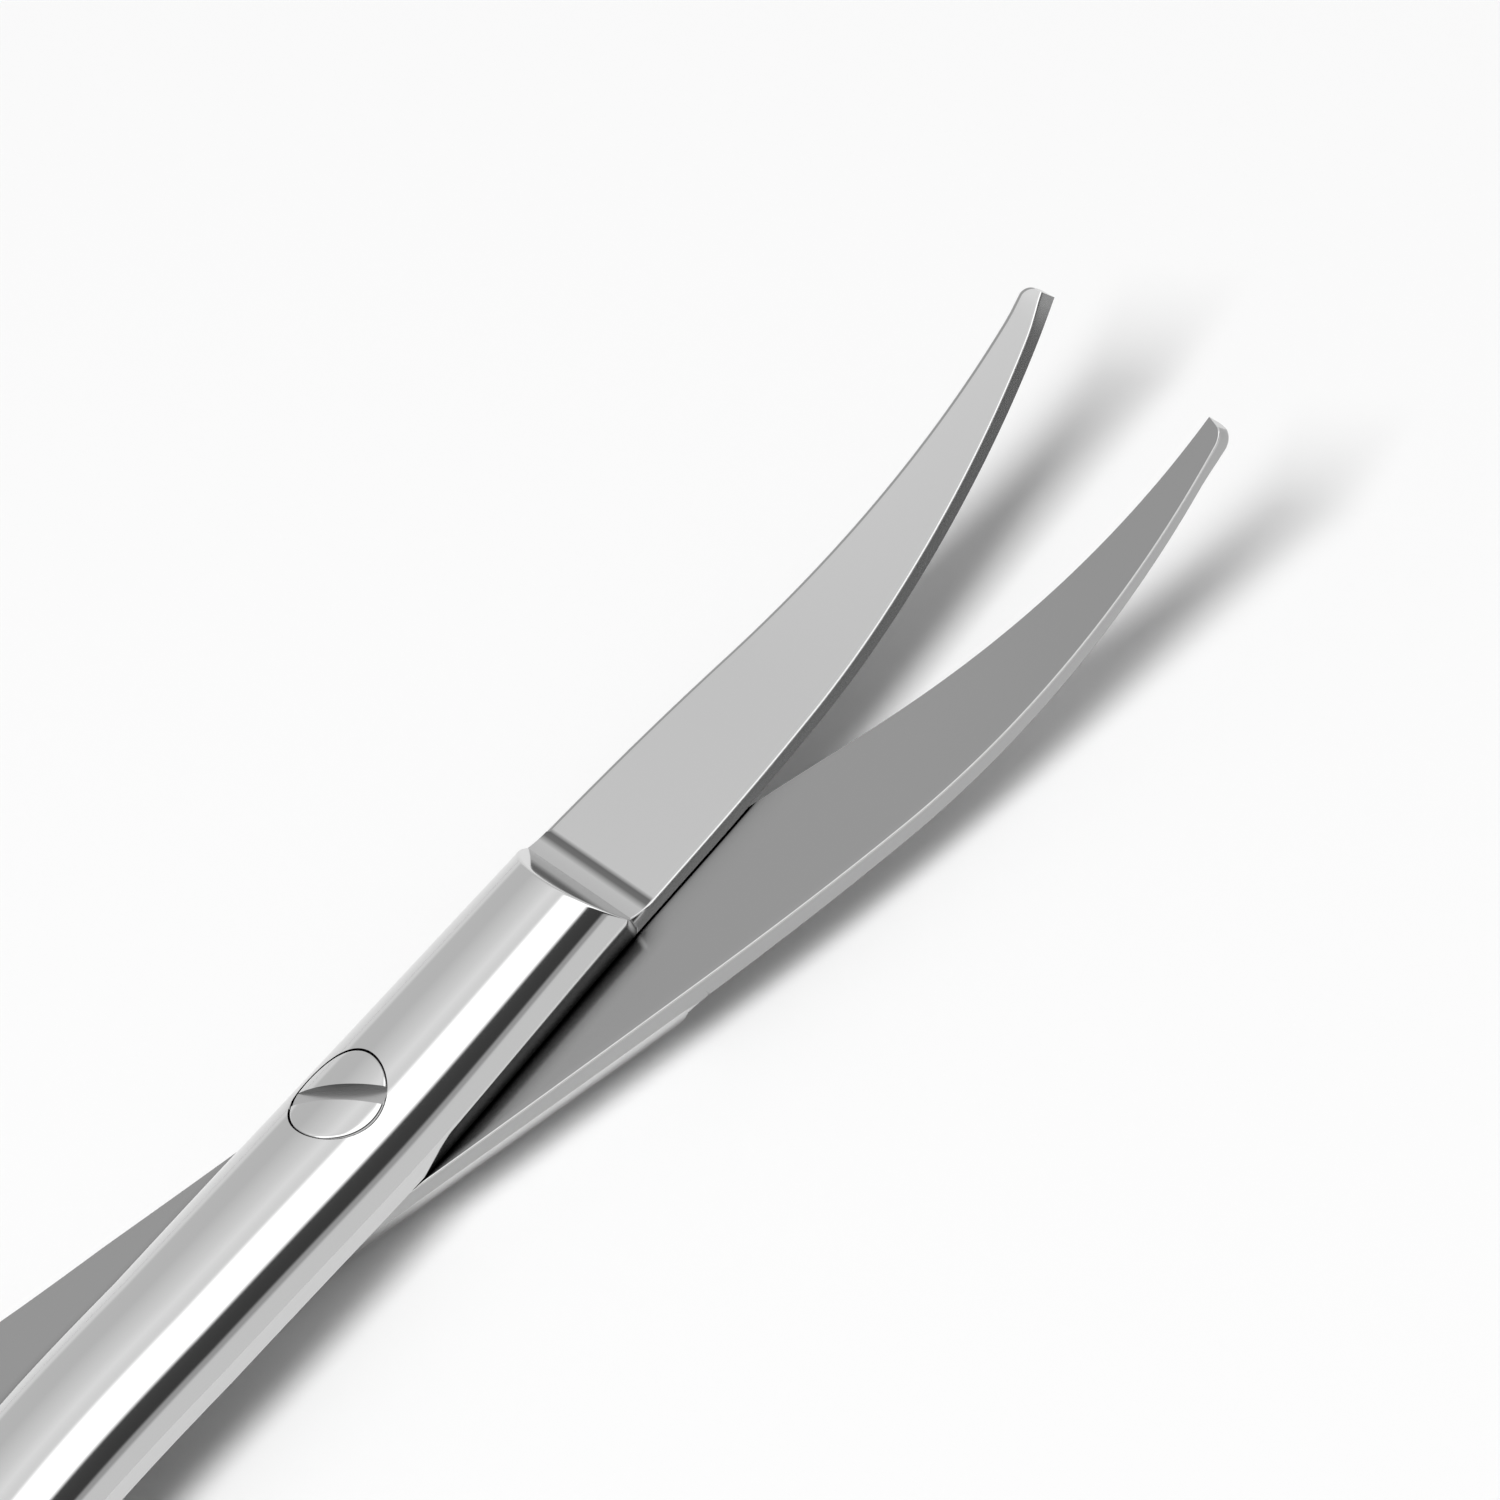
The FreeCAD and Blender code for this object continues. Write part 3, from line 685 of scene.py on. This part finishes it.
class FinishSettings(bpy.types.PropertyGroup):
    """Colours and roughness of the steel's finishes, and the painted shades in the hollow, the gap
    beside the other half and the screw's slot.
    """

    polished_colour: colour("Polished", "Joint, shanks, rings and screw", "#cfcfcf")
    polished_roughness: factor("Polished roughness", "Blur in the buffed steel", 0.07)
    ground_colour: colour("Ground", "Outer faces of the blades", "#d2d2d2")
    ground_roughness: factor("Ground roughness", "Blur in the outer faces", 0.28)
    # Painted shade across the blade at the far side of the hollow
    hollow_shade_colour: colour("Hollow shade", "Mark beside the step", "#787878")
    hollow_shade_end_colour: colour("Hollow shade's end", "The mark toward the tip", "#707070")
    lapped_colour: colour("Lapped", "Inner faces", "#aaaaaa")
    # Painted shade: the inner face's colour in the narrow gap beside the other half
    gap_shade_colour: colour("Shut in", "Inner faces beside the other half", "#101010")
    lapped_roughness: factor("Lapped roughness", "Blur in the inner faces", 0.2)
    honed_colour: colour("Honed", "Cutting bevels", "#b0b0b0")
    honed_roughness: factor("Honed roughness", "Blur in the cutting bevels", 0.26)
    brushed_colour: colour("Brushed", "Sides of the joint's front and the blades", "#acacac")
    brushed_roughness: factor("Brushed roughness", "Blur in the sides", 0.3)
    # The walls' darker colour is painted shade in the slot; their roughness is the real milled
    # finish
    slot_wall_shade_colour: colour("Slot wall", "Walls of the screw's slot", "#808080")
    slot_wall_roughness: factor("Slot wall roughness", "Blur in the slot's walls", 0.35)
    slot_floor_colour: colour("Slot floor", "Floor of the screw's slot", "#c4c4c4")
    slot_floor_roughness: factor("Slot floor roughness", "Blur in the slot's floor", 0.3)


class StageSettings(bpy.types.PropertyGroup):
    """Floor, room, key lamp and camera."""

    floor_colour: colour("Floor colour", "Colour of the floor", "#f2f2f2")
    room_level: bpy.props.FloatProperty(
        name="Room level", description="Brightness of the room round the floor", default=0.35)
    key_power: bpy.props.FloatProperty(
        name="Key power", description="Power of the key lamp", default=23.4, unit="POWER")
    camera_azimuth: angle("Azimuth", "Camera's turn round the pivot", -8.067)
    camera_elevation: angle("Elevation", "Camera's height above the floor as an angle", 43.583)
    camera_roll: angle("Roll", "Turn of the picture about the line of sight", 35.530)
    camera_distance: length("Distance", "Camera to the pivot along the line of sight", 500.0)
    picture_scale: bpy.props.FloatProperty(
        name="Picture scale", description="Pixels of the photograph to a millimetre at the pivot",
        default=31.4)
    pivot_across: bpy.props.FloatProperty(
        name="Pivot across", description="Pixels from the photograph's left side to the pivot",
        default=369.6, subtype="PIXEL")
    pivot_down: bpy.props.FloatProperty(
        name="Pivot down", description="Pixels from the photograph's top to the pivot",
        default=1137.8, subtype="PIXEL")


def new_material(name):
    """Material with an empty tree of nodes."""
    material = bpy.data.materials.new(name)
    material.use_nodes = True
    material.node_tree.nodes.clear()
    return material


def finish_material(material, shader):
    """Gives a material its shader."""
    node(material.node_tree, "ShaderNodeOutputMaterial", links={"Surface": shader.outputs[0]})
    return material


def set_stops(ramp, stops):
    """Gives a colour ramp its stops, as (place, colour) pairs that start at 0."""
    elements = ramp.color_ramp.elements
    elements.remove(elements[1])
    for place, tone in stops:
        element = elements.new(place) if place else elements[0]
        element.color = tone


def steel(name, tone, roughness):
    """Plain stainless steel of one finish."""
    material = new_material(name)
    shader = node(material.node_tree, "ShaderNodeBsdfPrincipled", {
        "Base Color": tone, "Metallic": 1.0, "Roughness": roughness})
    return finish_material(material, shader)


HOLLOW_SHADE_START, HOLLOW_SHADE_END = -0.5 * MM, 0.2 * MM  # of the painted shade at the hollow's far side, from the end of the hollow
HOLLOW_SHADE_STOPS = 0.1, 0.45, 0.7, 0.92  # where it begins, is dark, and ends


def ground_steel(size, finish, side):
    """Stainless steel ground with a wheel along the blade and satin finished.

    The eye sees a pale face that blurs what it mirrors. A short dark band across the blade
    at the hollow's far side is painted shade, laid into the base colour along the blade.
    """
    material = new_material("satin_ground_stainless")
    tree = material.node_tree
    place = node(tree, "ShaderNodeTexCoord")
    turn = side * size.rest_opening / 2
    along = node(tree, "ShaderNodeVectorMath", {
        "operation": "DOT_PRODUCT", 1: (math.cos(turn), math.sin(turn), 0.0)},
        {0: place.outputs["Object"]})
    # Painted shade: along the blade, the base colour darkens at the far side of the hollow
    share = node(tree, "ShaderNodeMapRange", {
        "From Min": size.step_toe + HOLLOW_SHADE_START, "From Max": size.step_toe + HOLLOW_SHADE_END},
        {"Value": along.outputs["Value"]})
    ramp = node(tree, "ShaderNodeValToRGB", links={"Fac": share.outputs[0]})
    tones = (
        finish.ground_colour, finish.hollow_shade_colour, finish.hollow_shade_end_colour, finish.ground_colour)
    set_stops(ramp, [(0.0, finish.ground_colour), *zip(HOLLOW_SHADE_STOPS, tones)])
    shader = node(tree, "ShaderNodeBsdfPrincipled", {
        "Metallic": 1.0, "Roughness": finish.ground_roughness},
        {"Base Color": ramp.outputs["Color"]})
    return finish_material(material, shader)


SHADE_REACH = 1.2 * MM  # how far a wall darkens the inner face beside it
SHADE_SAMPLES = 16
SHUT_IN, OPEN = 0.62, 0.97  # shares of open sky between which the inner face clears


def lapped_steel(finish):
    """Stainless steel lapped flat on a plate.

    The eye sees a smooth grey face; beside the other half a painted shade turns it nearly black.
    """
    material = new_material("lapped_stainless")
    tree = material.node_tree
    # Painted shade: ambient occlusion darkens the base colour toward near black beside the other
    # half
    shade = node(tree, "ShaderNodeAmbientOcclusion", {
        "Distance": SHADE_REACH, "samples": SHADE_SAMPLES})
    open_share = node(tree, "ShaderNodeMapRange", {
        "From Min": SHUT_IN, "From Max": OPEN}, {"Value": shade.outputs["AO"]})
    tone = node(tree, "ShaderNodeMix", {
        "data_type": "RGBA", 6: finish.gap_shade_colour, 7: finish.lapped_colour},
        {"Factor": open_share.outputs[0]})
    shader = node(tree, "ShaderNodeBsdfPrincipled", {
        "Metallic": 1.0, "Roughness": finish.lapped_roughness}, {"Base Color": tone.outputs[2]})
    return finish_material(material, shader)


class SCISSORS_OT_halves(bpy.types.Operator):
    """Builds both halves with fine surfaces in their steel finishes"""

    bl_idname = "scissors.halves"
    bl_label = "Build the halves"

    def execute(self, context):
        size, finish = context.scene.scissors_halves, context.scene.scissors_finishes
        # Buffed bright on a cloth wheel: mirrors the studio in long, clear bands
        polished = steel(
            "polished_stainless", finish.polished_colour, finish.polished_roughness)
        lapped = lapped_steel(finish)
        # Honed on a fine stone: a thin even line that blurs what it mirrors
        honed = steel("honed_bevel_stainless", finish.honed_colour, finish.honed_roughness)
        # Brushed on a fine belt: a dull, even grey beside the bright faces
        brushed = steel(
            "brushed_side_stainless", finish.brushed_colour, finish.brushed_roughness)
        for side, node_name, body_name in ((1, "upper_half", "upper"), (-1, "lower_half", "lower")):
            finishes = (polished, ground_steel(size, finish, side), lapped, honed, brushed)
            half = Half(size, side)
            piece = new_piece(node_name + "_steel", half.body(), finishes)
            joined(piece, (
                ("UNION", new_piece("ring_tool", half.ring(), finishes)),
                ("DIFFERENCE", new_piece("hole_tool", screw_hole(size, side), finishes))))
            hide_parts(node_name)
            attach(piece, body_name)
        return {"FINISHED"}


class SCISSORS_OT_screw(bpy.types.Operator):
    """Builds the slotted pivot screw with its rounded rim and milled slot"""

    bl_idname = "scissors.screw"
    bl_label = "Build the screw"

    def execute(self, context):
        size, finish = context.scene.scissors_halves, context.scene.scissors_finishes
        finishes = (
            # Ground flush with the joint and buffed with it: the same clear bands
            steel("polished_screw_steel", finish.polished_colour, finish.polished_roughness),
            # Cut by a thin milling wheel: matt, with a darker base colour on the walls as painted
            # shade in the slot
            steel("milled_slot_wall", finish.slot_wall_shade_colour, finish.slot_wall_roughness),
            steel("milled_slot_floor", finish.slot_floor_colour, finish.slot_floor_roughness))
        piece = new_piece("pivot_screw_steel", screw_body(size), finishes)
        joined(piece, (("DIFFERENCE", new_piece("slot_tool", slot_tool(size), finishes)),))
        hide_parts("pivot_screw")
        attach(piece, "lower")
        return {"FINISHED"}


KEY_PLACE = Vector((-0.6, -0.38, 1.42))  # metres from the pivot, which it faces
KEY_SIZE = 0.9  # metres along each side


def key_lamp(power):
    """Soft square lamp over the scissors; the steel mirrors the studio's levels instead of it."""
    lamp = bpy.data.lights.new("key", "AREA")
    lamp.shape = "SQUARE"
    lamp.size = KEY_SIZE
    lamp.energy = power
    holder = bpy.data.objects.new("key", lamp)
    bpy.context.scene.collection.objects.link(holder)
    holder.location = KEY_PLACE
    holder.rotation_euler = (-KEY_PLACE).to_track_quat("-Z", "Y").to_euler()
    holder.visible_glossy = False


def place_camera(settings):
    """Camera on the photograph's line of sight, with the picture's centre on its axis."""
    turn, rise, roll = settings.camera_azimuth, settings.camera_elevation, settings.camera_roll
    back = Vector((
        math.sin(turn) * math.cos(rise), -math.cos(turn) * math.cos(rise), math.sin(rise)))
    level = Vector((math.cos(turn), math.sin(turn), 0))
    upward = back.cross(level)
    right = level * math.cos(roll) - upward * math.sin(roll)
    top = level * math.sin(roll) + upward * math.cos(roll)
    pixel = MM / settings.picture_scale
    across = (settings.pivot_across - PHOTO_SIZE / 2) * pixel
    above = (PHOTO_SIZE / 2 - settings.pivot_down) * pixel
    camera = bpy.data.cameras.new("camera")
    camera.sensor_width = 36.0
    camera.lens = camera.sensor_width * settings.camera_distance / (PHOTO_SIZE * pixel)
    camera.clip_start = 0.01
    holder = bpy.data.objects.new("camera", camera)
    bpy.context.scene.collection.objects.link(holder)
    spot = back * settings.camera_distance - right * across - top * above
    facing = Matrix((right, top, back)).transposed().to_4x4()
    holder.matrix_world = Matrix.Translation(spot) @ facing
    bpy.context.scene.camera = holder


# Brightness round the studio, by the angle in degrees from straight up toward the near side
STUDIO_LEVELS = (
    (-90, 0.93), (-83, 0.93), (-78, 0.72), (-49, 0.72),  # far wall
    (-21, 0.95), (-10, 1.1), (0, 0.99), (4, 1.0),  # ceiling
    (8, 1.9), (36, 1.9),  # softbox
    (40, 0.08), (58, 0.06),  # black flag below the softbox
    (60.5, 0.47), (64, 0.47), (66.5, 0.85), (90, 0.85))  # near wall

END_WALLS = 0.75  # brightness past both ends of the scissors
END_WALLS_FROM, END_WALLS_FULL = 0.85, 0.97  # how far along X a ray has to point


def studio_world(settings):
    """Softbox, flag and walls that the steel mirrors; all else sees a plain pale room."""
    world = bpy.data.worlds.new("studio")
    world.use_nodes = True
    tree = world.node_tree
    tree.nodes.clear()
    place = node(tree, "ShaderNodeTexCoord")
    axes = node(tree, "ShaderNodeSeparateXYZ", links={"Vector": place.outputs["Generated"]})
    nearer = node(tree, "ShaderNodeMath", {"operation": "MULTIPLY", 1: -1.0}, {
        0: axes.outputs["Y"]})
    turn = node(tree, "ShaderNodeMath", {"operation": "ARCTAN2"}, {
        0: nearer.outputs[0], 1: axes.outputs["Z"]})
    share = node(tree, "ShaderNodeMapRange", {
        "From Min": -math.pi / 2, "From Max": math.pi / 2}, {"Value": turn.outputs[0]})
    ramp = node(tree, "ShaderNodeValToRGB", links={"Fac": share.outputs[0]})
    brightest = max(level for _, level in STUDIO_LEVELS)

    def grey(level):
        return (*[level / brightest] * 3, 1.0)

    set_stops(ramp, [((degrees + 90) / 180, grey(level)) for degrees, level in STUDIO_LEVELS])
    along = node(tree, "ShaderNodeMath", {"operation": "ABSOLUTE"}, {0: axes.outputs["X"]})
    end_share = node(tree, "ShaderNodeMapRange", {
        "From Min": END_WALLS_FROM, "From Max": END_WALLS_FULL}, {"Value": along.outputs[0]})
    walls = node(tree, "ShaderNodeMix", {"data_type": "RGBA", 7: grey(END_WALLS)}, {
        "Factor": end_share.outputs[0], 6: ramp.outputs["Color"]})
    mirrored = node(tree, "ShaderNodeBackground", {"Strength": brightest}, {
        "Color": walls.outputs[2]})
    plain = node(tree, "ShaderNodeBackground", {
        "Color": linear("#ffffff"), "Strength": settings.room_level})
    path = node(tree, "ShaderNodeLightPath")
    mixed = node(tree, "ShaderNodeMixShader", links={
        "Fac": path.outputs["Is Glossy Ray"], 1: plain.outputs[0], 2: mirrored.outputs[0]})
    node(tree, "ShaderNodeOutputWorld", links={"Surface": mixed.outputs[0]})
    return world


FLOOR_HALF = 2.0  # metres from the pivot to the floor's sides
FLOOR_ROUGHNESS = 0.9


class SCISSORS_OT_stage(bpy.types.Operator):
    """Adds the floor, the studio that the steel mirrors, the key lamp and the camera"""

    bl_idname = "scissors.stage"
    bl_label = "Set the stage"

    def execute(self, context):
        settings = context.scene.scissors_stage
        lowest = CAD_BOX[0][2]
        floor_mesh = bpy.data.meshes.new("floor")
        corners = [(x * FLOOR_HALF, y * FLOOR_HALF, lowest)
                   for x, y in ((-1, -1), (1, -1), (1, 1), (-1, 1))]
        floor_mesh.from_pydata(corners, [], [(0, 1, 2, 3)])
        floor = bpy.data.objects.new("floor", floor_mesh)
        bpy.context.scene.collection.objects.link(floor)
        material = new_material("floor")
        # Matt painted board: even and pale, with soft shadows and no mirror image
        shader = node(material.node_tree, "ShaderNodeBsdfPrincipled", {
            "Base Color": settings.floor_colour, "Roughness": FLOOR_ROUGHNESS})
        finish_material(material, shader)
        floor_mesh.materials.append(material)
        context.scene.world = studio_world(settings)
        key_lamp(settings.key_power)
        place_camera(settings)
        context.scene.view_settings.view_transform = "Standard"
        return {"FINISHED"}


class SCISSORS_PT_panel(bpy.types.Panel):
    """Lists the steps that build the look"""

    bl_idname = "SCISSORS_PT_panel"
    bl_label = "Iris scissors"
    bl_space_type = "VIEW_3D"
    bl_region_type = "UI"
    bl_category = "Scissors"

    def draw(self, context):
        scene = context.scene
        for operator in (SCISSORS_OT_halves, SCISSORS_OT_screw, SCISSORS_OT_stage):
            self.layout.operator(operator.bl_idname)
        for settings in (scene.scissors_halves, scene.scissors_finishes, scene.scissors_stage):
            for name in settings.__annotations__:
                self.layout.prop(settings, name)


CLASSES = (
    HalfSettings, FinishSettings, StageSettings, SCISSORS_OT_halves, SCISSORS_OT_screw,
    SCISSORS_OT_stage, SCISSORS_PT_panel)


def register():
    for item in CLASSES:
        bpy.utils.register_class(item)
    bpy.types.Scene.scissors_halves = bpy.props.PointerProperty(type=HalfSettings)
    bpy.types.Scene.scissors_finishes = bpy.props.PointerProperty(type=FinishSettings)
    bpy.types.Scene.scissors_stage = bpy.props.PointerProperty(type=StageSettings)


def unregister():
    del bpy.types.Scene.scissors_stage
    del bpy.types.Scene.scissors_finishes
    del bpy.types.Scene.scissors_halves
    for item in reversed(CLASSES):
        bpy.utils.unregister_class(item)


def main():
    register()
    bpy.ops.scissors.halves()
    bpy.ops.scissors.screw()
    bpy.ops.scissors.stage()


if __name__ == "__main__":
    main()
